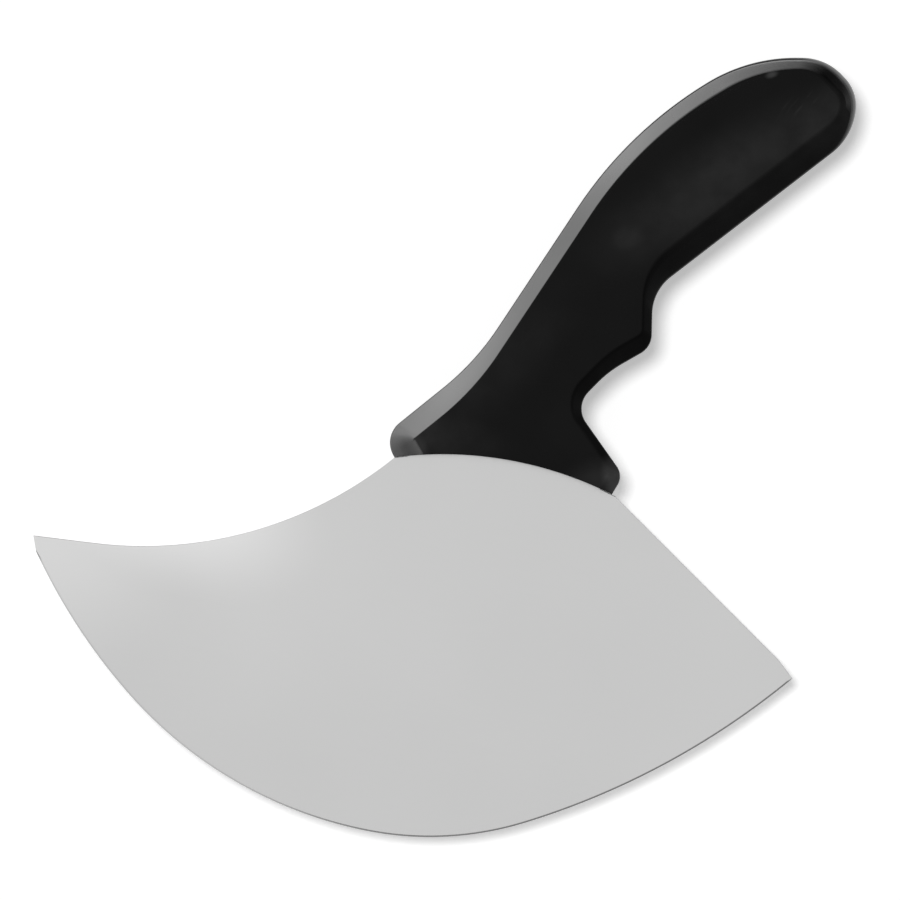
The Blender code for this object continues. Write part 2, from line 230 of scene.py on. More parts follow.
def noiseNode(nodes, links, source, scale, stretch=(1.0, 1.0, 1.0), detail=2.0, turn=0.0):
    mapping = nodes.new("ShaderNodeMapping")
    mapping.vector_type = "TEXTURE"
    mapping.inputs["Scale"].default_value = stretch
    mapping.inputs["Rotation"].default_value[2] = math.radians(turn)
    noise = nodes.new("ShaderNodeTexNoise")
    noise.inputs["Scale"].default_value = scale
    noise.inputs["Detail"].default_value = detail
    links.new(source, mapping.inputs["Vector"])
    links.new(mapping.outputs["Vector"], noise.inputs["Vector"])
    return noise.outputs["Fac"]


def rangeNode(nodes, links, value, fromLow, fromHigh, toLow, toHigh, smooth=False):
    node = nodes.new("ShaderNodeMapRange")
    node.interpolation_type = "SMOOTHSTEP" if smooth else "LINEAR"
    for name, number in zip(("From Min", "From Max", "To Min", "To Max"), (fromLow, fromHigh, toLow, toHigh)):
        node.inputs[name].default_value = number
    links.new(value, node.inputs["Value"])
    return node.outputs["Result"]


def mathNode(nodes, links, operation, a, b):
    node = nodes.new("ShaderNodeMath")
    node.operation = operation
    for socket, value in zip(node.inputs, (a, b)):
        if isinstance(value, (int, float)):
            socket.default_value = value
        else:
            links.new(value, socket)
    return node.outputs["Value"]


def bumpNode(nodes, links, height, distance):
    bump = nodes.new("ShaderNodeBump")
    bump.inputs["Strength"].default_value = texture["bumpStrength"]
    bump.inputs["Distance"].default_value = distance
    links.new(height, bump.inputs["Height"])
    return bump.outputs["Normal"]


# Camera: straight above the blade, turned a little, as the picture was taken
camera = {
    "turn": 10.53,                 # degrees
    "lookX": 0.0020,
    "lookY": 0.0420,               # above the line of the tips
    "height": 8.0,
    "frameWidth": 0.23331,         # width of the picture at the blade
    "sensorWidth": 36.0,           # mm
    "clip": (0.1, 20.0),
}
cameraData = bpy.data.cameras.new("camera")
cameraData.sensor_width = camera["sensorWidth"]
cameraData.lens = cameraData.sensor_width * camera["height"] / camera["frameWidth"]
cameraData.clip_start, cameraData.clip_end = camera["clip"]
cameraObject = bpy.data.objects.new("camera", cameraData)
cameraObject.location = (camera["lookX"], camera["lookY"] + tipLine, camera["height"])
cameraObject.rotation_euler.z = math.radians(camera["turn"])
bpy.context.scene.collection.objects.link(cameraObject)
bpy.context.scene.camera = cameraObject
print("stage 2: the camera looks straight down")


# The tang, shared by the blade and by the slot in the handle
tang = {
    "start": (0.0205, 0.0120),
    "stop": (0.1057, 0.0156),
    "width": 0.0140,
    "endFillet": 0.0055,
    "neckFillet": 0.0100,
    "footFillet": 0.0004,
    "neckSetback": 0.0035,
    "runout": 0.0040,
    "filletSteps": 10,
    "holeDiameter": 0.0070,
    "holeSteps": 48,
    "holes": 3,
    "firstHole": 0.0155,
    "holePitch": 0.0260,
}

handle = {
    # corners in the handle's own frame, anticlockwise: x, y, fillet, width of the chamfer that follows,
    # and that chamfer's roundings into the side wall and into the flat side
    "corners": (
        (0.0197, -0.0235, 0.0045, 0.0020, 0.0008, 0.0020),    # horn
        (0.0240, -0.0020, 0.0061, 0.0032, 0.0008, 0.0025),    # finger notch
        (0.0365, -0.0022, 0.0300, 0.0040, 0.0008, 0.0025),
        (0.0488, -0.0059, 0.0057, 0.0023, 0.0008, 0.0020),    # bump behind the finger
        (0.0596, 0.0039, 0.0123, 0.0054, 0.0012, 0.0045),     # start of the palm swell
        (0.1243, -0.0062, 0.0163, 0.0036, 0.0034, 0.0035),
        (0.1337, 0.0010, 0.0106, 0.0040, 0.0038, 0.0030),     # butt
        (0.1343, 0.0130, 0.0143, 0.0030, 0.0028, 0.0025),
        (0.1207, 0.0276, 0.0436, 0.0040, 0.0016, 0.0030),
        (0.0855, 0.0372, 0.1075, 0.0039, 0.0008, 0.0010),     # back of the grip
        (0.0145, 0.0247, 0.0684, 0.0056, 0.0008, 0.0010),
        (-0.0160, 0.0288, 0.0066, 0.0072, 0.0010, 0.0030),    # back end of the collar
        (-0.0356, -0.0358, 0.0010, 0.0031, 0.0010, 0.0015),   # below the collar, cut away
    ),
    "thickness": 0.0220,
    "collarThickness": 0.0180,
    "taperStart": 0.0600,
    "taperEnd": -0.0120,
    "chamferSlope": 38.0,
    "setIn": 0.00003,              # keeps the finer curves within the coarser ones
    "partingRise": 0.00006,        # mould line round the middle of the side wall
    "partingHalfWidth": 0.00018,
    "collarRound": 0.00025,
    "collarRoundSteps": 3,
    "skinWall": 0.0030,
    "frontWall": 0.0050,
    "tangGap": 0.00005,
    "ringOverrun": 0.0006,         # how far the chamfer's rings run on at either end
    "innerShare": 0.45,            # most of a chamfer that its inner rounding takes
    "leastChamfer": 0.0003,
    "cornerSteps": 16,
    "outerSteps": 4,
    "innerSteps": 7,
    "taperStations": 24,
    "cutHalfHeight": 0.03,
    "cutSteps": (720, 360),        # round the rim and round the room behind it
    "rimReachError": 2e-5,         # the rim's edges: this near the collar's arc, above the blade, this sharp
    "rimAbove": 0.0015,
    "rimAngle": 50.0,
    # by its tilt and azimuth in degrees and its place along Y: where a surface gets more gloss and a painted
    # sheen (the upper chamfer along the back, facing the light, and the rim of the butt), and where painted
    # shade darkens a crease (the foot of the belly's chamfer)
    "glossAndSheenTilt": (20.0, 34.0, 42.0, 58.0),
    "glossAndSheenAzimuth": (60.0, 112.0, 235.0, 250.0),
    "rimTilt": (34.0, 54.0, 88.0, 92.0),
    "rimAzimuth": (318.0, 378.0, 440.0, 465.0),
    "rimReach": (0.070, 0.090, 0.120, 0.130),
    "rimShare": 0.25,
    "creaseTilt": (0.5, 12.0, 30.0, 62.0),
    "creaseAzimuth": (285.0, 300.0, 420.0, 455.0),
    "creaseReach": (0.000, 0.012, 0.120, 0.130),
}


def collarEnd(corner, radius):
    start = fromHandle(*handle["corners"][corner][:2])
    return onCircle(collarCentre, radius, start, fromHandle(*handle["corners"][-1][:2]) - start)


def alongCollar(point, distance):
    spoke = point - collarCentre
    spoke.rotate(Matrix.Rotation(distance / spoke.length, 2))
    return collarCentre + spoke


def neckFeet(rimRadius):
    return (alongCollar(collarEnd(0, rimRadius), tang["neckSetback"]),
            alongCollar(collarEnd(-2, rimRadius), -tang["neckSetback"]))


def tangOutline(rimRadius, grow=0.0):
    start, stop = fromHandle(*tang["start"]), fromHandle(*tang["stop"])
    aside = leftOf(unit(stop - start)) * tang["width"] / 2
    strip = [start - aside, stop - aside, stop + aside, start + aside]
    hornFoot, backFoot = neckFeet(rimRadius)
    lows = [foot + unit(foot - corner) * tang["runout"]
            for foot, corner in ((hornFoot, strip[0]), (backFoot, strip[3]))]
    fillets = [tang[name] for name in ("footFillet", "neckFillet", "endFillet")]
    fillets += fillets[::-1]
    corners = [(*corner, fillet) for corner, fillet in zip([lows[0], *strip, lows[1]], fillets)]
    return rounded(insetCorners(corners, [-grow] * len(corners)), tang["filletSteps"])


def lockHoles():
    start, stop = fromHandle(*tang["start"]), fromHandle(*tang["stop"])
    along = unit(stop - start)
    return [start + along * (tang["firstHole"] + tang["holePitch"] * i) for i in range(tang["holes"])]


# Blade: one sheet, thinned by a full convex grind, with a sharpened bevel along the edge
blade = {
    "toeBellyRadius": 0.1105,
    "toeBellySweep": 38.0,
    "heelBellyRadius": 0.0835,
    "heelBellySweep": 27.5,
    "toeLand": 0.0042,             # blunt end of the toe
    "toeSlant": 70.0,
    "spineStraight": 0.0160,
    "spineRise": 3.5,
    "sideSlope": 34.5,
    "heelLand": 0.0061,            # steeper end of the side, down to the heel
    "heelSlope": 42.5,
    "thickness": 0.0018,
    "grindWidth": 0.0600,
    "shoulderThickness": 0.0004,
    "bevelWidth": 0.0004,
    "edgeThickness": 0.0001,
    "arris": 0.00014,              # broken corner along the spine and the side
    "collarGap": 0.00004,
    "tangFromEdge": 0.1,           # stands for far away from the cutting edge
    "sharpAngle": 12.0,
    "edgeSteps": (60, 40),         # outer and belly arc
    "columns": (10, 56, 4, 30, 4, 30, 4),     # straight, spine, shoulder, neck, shoulder, side, heel
    "rows": (0.03, 0.07, 0.12, 0.18, 0.25, 0.33, 0.42, 0.52, 0.63, 0.75, 0.88, 1.0),
}


def polar(length, degrees):
    return length * Vector((math.cos(math.radians(degrees)), math.sin(math.radians(degrees))))


def cuttingEdge():
    sides = []
    toeFoot = toe + polar(blade["toeLand"], -blade["toeSlant"])
    for tip, radius, sweep in ((toeFoot, blade["toeBellyRadius"], -blade["toeBellySweep"]),
                               (heel, blade["heelBellyRadius"], blade["heelBellySweep"])):
        sweep = math.radians(sweep)
        belly = Vector((0.0, radius - knife["bladeDepth"]))
        inward = Vector((-math.sin(sweep), math.cos(sweep)))
        joint = belly - inward * radius
        side = arcPoints(tangentCentre(joint, inward, tip), tip, joint, blade["edgeSteps"][0])
        lowest = Vector((0.0, -knife["bladeDepth"]))
        sides.append(side + arcPoints(belly, joint, lowest, blade["edgeSteps"][1])[1:])
    return sides[0] + sides[1][-2::-1]


def resampled(points, fractions):
    lengths = [0.0]
    for a, b in zip(points, points[1:]):
        lengths.append(lengths[-1] + (b - a).length)
    result, i = [], 0
    for fraction in fractions:
        target = fraction * lengths[-1]
        while i < len(points) - 2 and lengths[i + 1] < target:
            i += 1
        result.append(points[i].lerp(points[i + 1], (target - lengths[i]) / (lengths[i + 1] - lengths[i])))
    return result


def distanceTo(line, point):
    least = math.inf
    for a, b in zip(line, line[1:]):
        share = min(max((point - a).dot(b - a) / (b - a).length_squared, 0.0), 1.0)
        least = min(least, (point - a.lerp(b, share)).length)
    return least


def halfThickness(distance):
    shoulder, full = blade["shoulderThickness"] / 2, blade["thickness"] / 2
    if distance < blade["bevelWidth"]:
        edge = blade["edgeThickness"] / 2
        return edge + (shoulder - edge) * distance / blade["bevelWidth"]
    share = min((distance - blade["bevelWidth"]) / (blade["grindWidth"] - blade["bevelWidth"]), 1.0)
    return shoulder + (full - shoulder) * (1 - (1 - share) ** 2)


def bladeSheet():
    rimRadius = knife["collarRadius"] - blade["collarGap"]
    backEnd = collarEnd(-2, rimRadius)
    bend = heel + polar(blade["heelLand"], 180 - blade["heelSlope"])
    sideEnd = onCircle(collarCentre, rimRadius, bend, polar(1.0, 180 - blade["sideSlope"]), True)
    hornFoot, backFoot = neckFeet(rimRadius)
    straightSteps, spineSteps, shoulderSteps, neckSteps, hornSteps, sideSteps, bendSteps = blade["columns"]

    along = polar(1.0, blade["spineRise"])
    start = toe + along * blade["spineStraight"]
    upper = [toe.lerp(start, i / straightSteps) for i in range(straightSteps)]
    upper += arcPoints(tangentCentre(start, leftOf(along), backEnd), start, backEnd, spineSteps)
    upper += arcPoints(collarCentre, backEnd, backFoot, shoulderSteps)[1:]
    neckStart = len(upper) - 1
    upper += arcPoints(collarCentre, backFoot, hornFoot, neckSteps)[1:]
    neckEnd = len(upper) - 1
    upper += arcPoints(collarCentre, hornFoot, sideEnd, hornSteps)[1:]
    upper += [sideEnd.lerp(bend, i / sideSteps) for i in range(1, sideSteps)]
    upper += [bend.lerp(heel, i / bendSteps) for i in range(bendSteps + 1)]

    lengths = [0.0]
    for a, b in zip(upper, upper[1:]):
        lengths.append(lengths[-1] + (b - a).length)
    fineEdge = cuttingEdge()
    edge = resampled(fineEdge, [length / lengths[-1] for length in lengths])
    last = len(upper) - 1
    bevel = [edge[0].lerp(upper[0], blade["bevelWidth"] / blade["toeLand"])]
    inner = [upper[0].lerp(edge[0], blade["arris"] / blade["toeLand"])]     # where the broken corner begins
    for i in range(1, last):
        bevel.append(edge[i] + leftOf(unit(edge[i + 1] - edge[i - 1])) * blade["bevelWidth"])
        inner.append(upper[i] - leftOf(unit(upper[i + 1] - upper[i - 1])) * blade["arris"])
    bevel.append(edge[-1])
    inner.append(upper[-1])
    rows = [edge, bevel] + [[b.lerp(u, t) for b, u in zip(bevel, inner)] for t in blade["rows"]] + [upper]

    shape = bmesh.new()
    fromEdge = shape.verts.layers.float.new("fromEdge")
    sides = []
    for sign in (1, -1):
        grid = []
        for r, row in enumerate(rows):
            line = []
            for c, p in enumerate(row):
                if c == last and r > 0:
                    line.append(grid[0][c])
                    continue
                distance = (0.0, blade["bevelWidth"])[r] if r < 2 else distanceTo(fineEdge, p)
                half = halfThickness(distance)
                if r == len(rows) - 1 and not neckStart <= c <= neckEnd:
                    half = max(half - blade["arris"], blade["edgeThickness"] / 2)
                vertex = shape.verts.new((p.x, p.y, sign * half))
                vertex[fromEdge] = distance
                line.append(vertex)
            grid.append(line)
        for low, high in zip(grid, grid[1:]):
            for c in range(last):
                shape.faces.new(list(dict.fromkeys((low[c], low[c + 1], high[c + 1], high[c]))))
        tangPoints = [p for p in tangOutline(rimRadius) if (p - collarCentre).length > rimRadius]
        loop = [shape.verts.new((p.x, p.y, sign * blade["thickness"] / 2)) for p in tangPoints]
        for vertex in loop:
            vertex[fromEdge] = blade["tangFromEdge"]
        shape.faces.new(grid[-1][neckStart:neckEnd + 1] + loop)
        land = [line[0] for line in grid]
        sides.append((grid[0], land, grid[-1][:neckStart + 1] + loop[::-1] + grid[-1][neckEnd:]))
    for top, low in zip(*sides):
        for i in range(len(top) - 1):
            shape.faces.new((top[i], low[i], low[i + 1], top[i + 1]))

    piece = newPiece("bladeSheet", shape, sharpAngle=blade["sharpAngle"])
    rims = [circleOutline(place, tang["holeDiameter"] / 2, tang["holeSteps"]) for place in lockHoles()]
    cutters = [newPiece(f"hole{i}", prismShape(rim, blade["thickness"])) for i, rim in enumerate(rims)]
    cutAway(piece, *cutters)
    return piece


bladePiece = bladeSheet()
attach(bladePiece, "root")
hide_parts("blade")
print("stage 3: the blade is cut and ground")


# Handle: a moulded grip skin with rounded chamfers, a fine mould line and a slot for the tang
def taperAt(x):
    share = min(max((x - handle["taperEnd"]) / (handle["taperStart"] - handle["taperEnd"]), 0.0), 1.0)
    thin = handle["collarThickness"]
    return (thin + (handle["thickness"] - thin) * share) / handle["thickness"]


def chamferProfile(width, outer, inner):
    # inset and drop of each ring, from the side wall over the chamfer to the flat side
    slope = math.radians(handle["chamferSlope"])
    drop = width * math.tan(slope)
    outerReach = outer * math.tan((math.pi / 2 - slope) / 2)
    innerReach = min(inner * math.tan(slope / 2), handle["innerShare"] * width / math.cos(slope))
    inner = innerReach / math.tan(slope / 2)
    overrun, outerSteps, innerSteps = handle["ringOverrun"], handle["outerSteps"], handle["innerSteps"]
    rings = [(0.0, drop + outerReach + overrun), (0.0, drop + outerReach)]
    for i in range(1, outerSteps + 1):
        turn = (math.pi / 2 - slope) * i / outerSteps
        rings.append((outer * (1 - math.cos(turn)), drop + outerReach - outer * math.sin(turn)))
    endX, endDrop = width - innerReach * math.cos(slope), innerReach * math.sin(slope)
    rings.append((endX, endDrop))
    for i in range(1, innerSteps + 1):
        turn = slope * (1 - i / innerSteps)
        rings.append((endX + inner * (math.sin(slope) - math.sin(turn)),
                      endDrop - inner * (math.cos(turn) - math.cos(slope))))
    rings.append((rings[-1][0] + overrun, 0.0))
    return rings


def slabShape(wall, detailed):
    corners = handle["corners"]
    outer = insetCorners(corners, [wall + handle["setIn"]] * len(corners))
    half = handle["thickness"] / 2 - wall
    slope = math.radians(handle["chamferSlope"])
    lost = wall * (1 - math.tan(slope / 2))
    widths = [max(corner[3] - lost, handle["leastChamfer"]) for corner in corners]
    steps = handle["cornerSteps"]
    if detailed:
        profiles = [chamferProfile(*corner[3:]) for corner in corners]
        rise = handle["partingRise"]
        profiles = [[(x + rise, y) for x, y in profile] for profile in profiles]
    else:
        profiles = [[(0.0, width * math.tan(slope)), (width, 0.0)] for width in widths]

    shape = bmesh.new()
    rings = []
    for k in range(len(profiles[0])):
        outline = rounded(insetCorners(outer, [profile[k][0] for profile in profiles]), steps)
        drops = []
        for i in range(len(corners)):
            a, b = profiles[i - 1][k][1], profiles[i][k][1]
            drops += [a + (b - a) * j / steps for j in range(steps + 1)]
        rings.append([(p.x, p.y, half - drop) for p, drop in zip(outline, drops)])
    if detailed:
        wide = handle["partingHalfWidth"]
        flush = rounded(insetCorners(outer, [handle["partingRise"]] * len(corners)), steps)
        proud = rounded(outer, steps)
        middle = [[(p.x, p.y, wide) for p in flush], [(p.x, p.y, 0.0) for p in proud],
                  [(p.x, p.y, -wide) for p in flush]]
    else:
        middle = []
    below = [[(x, y, -z) for x, y, z in ring] for ring in rings]
    rings = rings[::-1] + middle + below
    made = [[shape.verts.new(p) for p in ring] for ring in rings]
    shape.faces.new(made[0])
    shape.faces.new(made[-1][::-1])
    for high, low in zip(made, made[1:]):
        for i in range(len(high)):
            shape.faces.new((high[i - 1], high[i], low[i], low[i - 1]))

    stations = handle["taperStations"] if detailed else 1
    for i in range(stations + 1):
        place = handle["taperEnd"] + (handle["taperStart"] - handle["taperEnd"]) * i / stations
        bmesh.ops.bisect_plane(shape, geom=shape.verts[:] + shape.edges[:] + shape.faces[:],
                               plane_co=(place, 0, 0), plane_no=(1, 0, 0), dist=drawing["weld"])
    for vertex in shape.verts:
        vertex.co.z *= taperAt(vertex.co.x)
    return shape


def fadeAt(value, inStart, inEnd, outStart, outEnd):
    rising, falling = (value - inStart) / (inEnd - inStart), (outEnd - value) / (outEnd - outStart)
    return eased(min(max(min(rising, falling), 0.0), 1.0))


def markSheenAndShade(mesh):
    glossAndSheen = mesh.attributes.new("glossAndSheen", "FLOAT", "FACE")
    creaseShade = mesh.attributes.new("creaseShade", "FLOAT", "FACE")
    up = Vector((0.0, 0.0, 1.0))
    marks = []
    for face in mesh.polygons:
        tilt = math.degrees(face.normal.angle(up, 0.0))
        azimuth = math.degrees(math.atan2(face.normal.y, face.normal.x)) % 360
        onward = azimuth + 360 if azimuth < 180 else azimuth      # runs on past the X axis
        # the back chamfer facing the light and the butt's rim get gloss and a painted sheen; the crease at
        # the foot of the belly's chamfer gets painted shade
        back = fadeAt(tilt, *handle["glossAndSheenTilt"]) * fadeAt(azimuth, *handle["glossAndSheenAzimuth"])
        rim = fadeAt(tilt, *handle["rimTilt"]) * fadeAt(onward, *handle["rimAzimuth"]) * handle["rimShare"]
        rim *= fadeAt(face.center.y, *handle["rimReach"])
        low = fadeAt(tilt, *handle["creaseTilt"]) * fadeAt(onward, *handle["creaseAzimuth"])
        marks.append((max(back, rim), low * fadeAt(face.center.y, *handle["creaseReach"])))
    for i, (glossAndSheenShare, creaseShadeShare) in enumerate(marks):
        glossAndSheen.data[i].value = glossAndSheenShare
        creaseShade.data[i].value = creaseShadeShare


def gripSkin():
    toKnife = (Matrix.Translation((knife["handleX"], knife["handleY"], 0.0))
               @ Matrix.Rotation(math.radians(knife["handleLean"]), 4, "Z"))
    piece = newPiece("gripSkin", slabShape(0.0, True), toKnife)
    rimCircle = circleOutline(collarCentre, knife["collarRadius"], handle["cutSteps"][0])
    front = newPiece("frontCut", prismShape(rimCircle, handle["cutHalfHeight"]))
    cavity = newPiece("cavity", slabShape(handle["skinWall"], False), toKnife)
    wallCircle = circleOutline(collarCentre, knife["collarRadius"] + handle["frontWall"],
                               handle["cutSteps"][1])
    cavityFront = newPiece("cavityFront", prismShape(wallCircle, handle["cutHalfHeight"]))
    cutAway(cavity, cavityFront)
    slot = newPiece("tangSlot", prismShape(tangOutline(knife["collarRadius"], handle["tangGap"]),
                                           blade["thickness"] / 2 + handle["tangGap"]))
    cutAway(piece, front, cavity, slot)

    # the moulded rim of the collar is rounded off a little
    centre = Vector((collarCentre.x, collarCentre.y + tipLine))
    shape = bmesh.new()
    shape.from_mesh(piece.data)
    rim = []
    leastAngle = math.radians(handle["rimAngle"])
    for edge in shape.edges:
        reach = [(Vector(v.co[:2]) - centre).length - knife["collarRadius"] for v in edge.verts]
        high = max(abs(v.co.z) for v in edge.verts)
        onRim = max(abs(r) for r in reach) < handle["rimReachError"] and high > handle["rimAbove"]
        if onRim and len(edge.link_faces) == 2 and edge.calc_face_angle(0.0) > leastAngle:
            rim.append(edge)
    bmesh.ops.bevel(shape, geom=rim, offset=handle["collarRound"], segments=handle["collarRoundSteps"],
                    affect="EDGES", profile=0.5)
    bmesh.ops.dissolve_degenerate(shape, dist=drawing["weld"], edges=shape.edges)
    shape.to_mesh(piece.data)
    shape.free()
    piece.data.shade_smooth()
    piece.data.set_sharp_from_angle(angle=math.radians(drawing["sharpAngle"]))
    markSheenAndShade(piece.data)
    return piece


gripPiece = gripSkin()
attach(gripPiece, "root")
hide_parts("handle_grip")
print("stage 4: the grip is moulded round the tang")


# Finishes
bladeFinish = {
    "colour": (0.719, 0.719, 0.718),
    "metal": 1.0,
    "roughness": 0.16,
    "roughnessSpread": 0.01,
    "lineScale": 2400.0,           # fine grinding lines along the blade
    "lineStretch": (30.0, 1.0, 1.0),
    "lineDepth": 0.000003,
    "lineTone": (0.996, 1.004),
    "cloudScale": 16.0,
    "cloudTone": (0.985, 1.015),
    "bevelFade": (0.00036, 0.00044),    # distance from the edge
    "bevelRoughness": 0.25,
    # painted sheen: lighter patches that stand in for reflections along the hollow of the spine, round it,
    # and at the toe (middle, turn in degrees, reach, strength)
    "paintedSheens": (
        ((-0.0669, -0.0310, 0.0), -14.8, (0.0401, 0.0238, 0.1), 0.284),
        ((-0.0449, -0.0417, 0.0), -34.0, (0.0700, 0.0442, 0.1), 0.040),
        ((-0.1045, -0.0429, 0.0), 53.5, (0.0319, 0.0450, 0.1), 0.176),
    ),
}
plastic = {
    "cloudScale": 60.0,
    "cloudTone": (0.75, 1.25),
    "mottleScale": 150.0,
    "mottleTone": (0.45, 1.25),
    "scratchScale": 700.0,
    "scratchStretch": (8.0, 1.0, 1.0),
    "scratchShare": (0.58, 0.72),
}
gripFinish = {
    "colour": (0.0048, 0.0048, 0.0048),
    "roughness": 0.27,
    "roughnessSpread": 0.02,
    "refraction": 2.3,
    "specular": 0.021,
    "glossAndSheen": 0.94,                # specular level added on the faces of the gloss-and-sheen mask
    # painted sheen: grey added on the faces of the gloss-and-sheen mask
    "paintedSheenGrey": 0.03,
    # painted shade: darkening in the crease at the foot of the belly's chamfer
    "creaseShadeTone": 0.60,
    "grainScale": 2600.0,
    "grainDepth": 0.000008,
    # paler patches: painted sheen for the face's soft reflections and for highlights at the horn and the
    # butt, with some wear: middle, turn in degrees, reach, grey
    "wearAndSheen": (
        ((0.0583, 0.0736, 0.0), 42.9, (0.044, 0.0125, 0.1), 0.0135),
        ((0.0831, 0.0947, 0.0), 60.0, (0.0125, 0.0085, 0.1), 0.0120),
        ((0.0461, -0.0082, 0.0), -62.0, (0.0075, 0.0040, 0.1), 0.052),
        ((0.0405, -0.0088, 0.0), 20.0, (0.0090, 0.0062, 0.1), 0.013),
        ((-0.0068, -0.0080, 0.0), 39.7, (0.0026, 0.0050, 0.1), 0.0200),
        ((-0.0045, -0.0040, 0.0), 8.0, (0.0080, 0.0060, 0.1), 0.0080),
        ((0.0008, -0.0062, 0.0), 8.0, (0.0180, 0.0070, 0.1), 0.0070),
        ((0.0080, 0.0130, 0.0), 55.0, (0.0360, 0.0110, 0.1), 0.0055),
        ((0.0370, 0.0546, 0.0), 30.0, (0.0050, 0.0036, 0.1), 0.0080),
        ((0.0661, 0.1029, 0.0), 30.0, (0.0020, 0.0011, 0.1), 0.0420),
    ),
    "scuffs": ((0.0750, 0.0925, 0.0), 60.0, (0.0110, 0.0070, 0.1), 0.012),
    # places along the back that are glossier or duller
    "polished": (
        ((0.0023, 0.0146, 0.0), 63.0, (0.0240, 0.0070, 0.1), 0.28),
        ((-0.0080, -0.0102, 0.0), 39.7, (0.0032, 0.0050, 0.1), -0.50),
        ((0.0203, 0.0538, 0.0), 68.0, (0.0120, 0.0070, 0.1), -0.13),
        ((0.0315, 0.0761, 0.0), 60.0, (0.0130, 0.0070, 0.1), 0.15),
    ),
}
coreFinish = {
    "colour": (0.05, 0.05, 0.05),
    "roughness": 0.5,
    "roughnessSpread": 0.02,
    "refraction": 1.5,
    "specular": 0.5,
    "glossAndSheen": 0.0,
    "paintedSheenGrey": 0.0,
    "creaseShadeTone": 1.0,
    "grainScale": 1400.0,
    "grainDepth": 0.00001,
    "wearAndSheen": (((0.0565, 0.0750, 0.0), 42.9, (0.040, 0.0115, 0.1), 0.01),),
    "scuffs": ((0.0300, 0.0300, 0.0), 60.0, (0.0110, 0.0070, 0.1), 0.01),
    "polished": (((0.0203, 0.0538, 0.0), 57.0, (0.0200, 0.0070, 0.1), 0.1),),
}


def around(finish):
    return finish["roughness"] - finish["roughnessSpread"], finish["roughness"] + finish["roughnessSpread"]


def scaledColour(nodes, links, colour, factor):
    node = nodes.new("ShaderNodeVectorMath")
    node.operation = "SCALE"
    node.inputs[0].default_value = colour
    links.new(factor, node.inputs["Scale"])
    return node.outputs["Vector"]


def softPatch(nodes, links, place, middle, turn, reach, strength):
    # a round-edged patch that fades out from its middle
    mapping = nodes.new("ShaderNodeMapping")
    mapping.vector_type = "TEXTURE"
    mapping.inputs["Location"].default_value = middle
    mapping.inputs["Rotation"].default_value[2] = math.radians(turn)
    mapping.inputs["Scale"].default_value = reach
    links.new(place, mapping.inputs["Vector"])
    away = nodes.new("ShaderNodeVectorMath")
    away.operation = "LENGTH"
    links.new(mapping.outputs["Vector"], away.inputs[0])
    return rangeNode(nodes, links, away.outputs["Value"], *texture["patchFade"], strength, 0.0, True)


def satinSteel():
    material, nodes, links, shader = newMaterial("satinSteel")
    place = nodes.new("ShaderNodeTexCoord").outputs["Object"]
    fromEdge = nodes.new("ShaderNodeAttribute")
    fromEdge.attribute_name = "fromEdge"
    shader.inputs["Metallic"].default_value = bladeFinish["metal"]
    lines = noiseNode(nodes, links, place, bladeFinish["lineScale"], bladeFinish["lineStretch"], 1.0)
    cloud = noiseNode(nodes, links, place, bladeFinish["cloudScale"], detail=2.0)
    onBevel = rangeNode(nodes, links, fromEdge.outputs["Fac"], *bladeFinish["bevelFade"], 1.0, 0.0)

    tone = rangeNode(nodes, links, cloud, *texture["middleSpan"], *bladeFinish["cloudTone"])
    fine = rangeNode(nodes, links, lines, *texture["middleSpan"], *bladeFinish["lineTone"])
    # painted sheen: the base colour is made lighter in these patches along the spine and at the toe
    paintedBladeSheen = 1.0
    for patch in bladeFinish["paintedSheens"]:
        paintedBladeSheen = mathNode(nodes, links, "ADD", softPatch(nodes, links, place, *patch), paintedBladeSheen)
    factor = mathNode(nodes, links, "MULTIPLY", mathNode(nodes, links, "MULTIPLY", tone, fine), paintedBladeSheen)
    links.new(scaledColour(nodes, links, bladeFinish["colour"], factor), shader.inputs["Base Color"])

    rough = rangeNode(nodes, links, lines, *texture["middleSpan"], *around(bladeFinish))
    mix = nodes.new("ShaderNodeMix")
    mix.inputs["B"].default_value = bladeFinish["bevelRoughness"]
    links.new(onBevel, mix.inputs["Factor"])
    links.new(rough, mix.inputs["A"])
    links.new(mix.outputs["Result"], shader.inputs["Roughness"])
    links.new(bumpNode(nodes, links, lines, bladeFinish["lineDepth"]), shader.inputs["Normal"])
    return material


